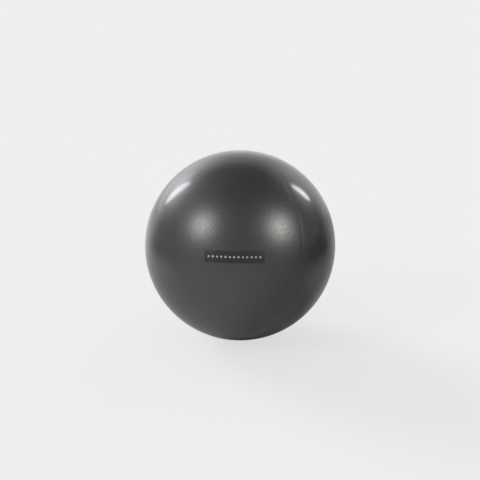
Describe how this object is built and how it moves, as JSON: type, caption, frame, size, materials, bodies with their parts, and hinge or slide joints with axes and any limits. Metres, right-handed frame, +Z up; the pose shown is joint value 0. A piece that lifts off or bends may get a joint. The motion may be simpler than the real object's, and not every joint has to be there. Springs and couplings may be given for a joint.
{
  "type": "pilates ball",
  "caption": "Small inflatable exercise ball with a thin satin skin, a flush valve with a pull-out stopper and a plain printed patch, resting on a small flat spot.",
  "frame": {"origin": "middle of the flat spot that the ball rests on, straight below the centre of the ball", "axes": "+Z up; +X out along the axis of the valve, the way the stopper is pulled; the printed patch faces -X and -Y"},
  "size_m": [0.2305, 0.23, 0.229],
  "materials": {
    "skin_vinyl": "satin",
    "valve_vinyl": "satin",
    "plug_plastic": "satin",
    "print_ink": "satin"
  },
  "bodies": {
    "ball": {"ball_skin": "skin_vinyl", "valve_insert": "valve_vinyl", "print_patch": "print_ink"},
    "plug": {"valve_plug": "plug_plastic"}
  },
  "joints": [
    {"name": "plug_pull", "type": "slide", "parent": "ball", "child": "plug", "axis": [1, 0, 0], "range_m": [0, 0.03]}
  ]
}
